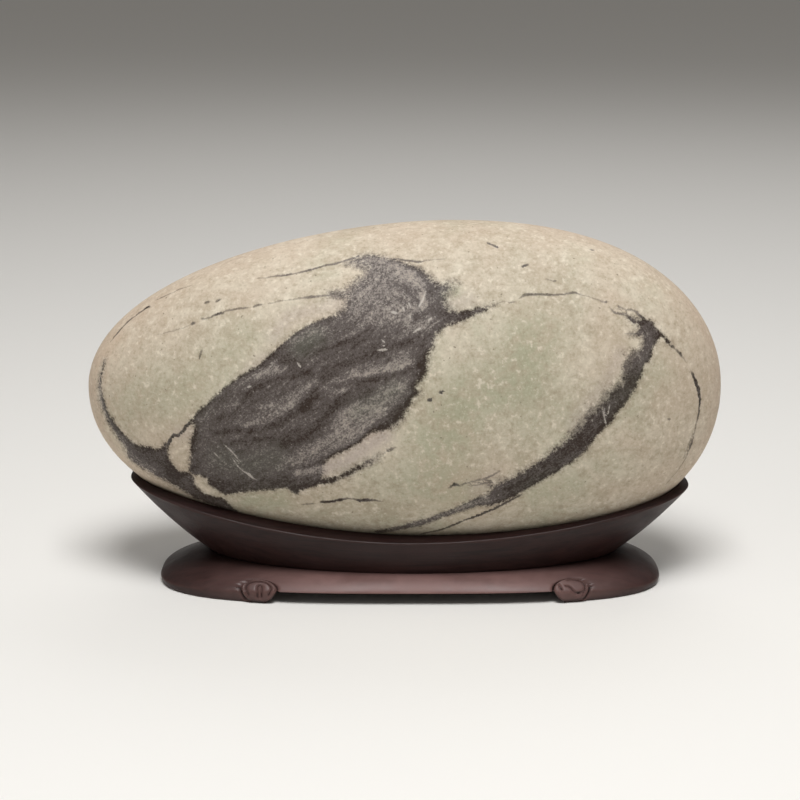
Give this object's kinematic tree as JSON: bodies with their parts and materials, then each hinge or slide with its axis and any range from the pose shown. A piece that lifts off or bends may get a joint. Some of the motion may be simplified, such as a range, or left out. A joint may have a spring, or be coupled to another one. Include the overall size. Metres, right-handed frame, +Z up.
{
  "type": "painting stone on stand",
  "caption": "Smooth egg-shaped river stone with a natural ink-like pattern, resting in a carved dark wood stand with a horned rim and scroll feet.",
  "frame": {"origin": "on the surface the stand stands on, under the middle of the stone's length and thickness", "axes": "+X along the stone towards its blunt end, +Z up; the patterned face that is shown looks along -Y"},
  "size_m": [0.24, 0.0882, 0.1387],
  "materials": {
    "stone": "smooth matte, water-worn",
    "wood": "dark stain, semi-gloss"
  },
  "bodies": {
    "root": {"river_stone": "stone", "wood_stand": "wood"}
  },
  "joints": []
}
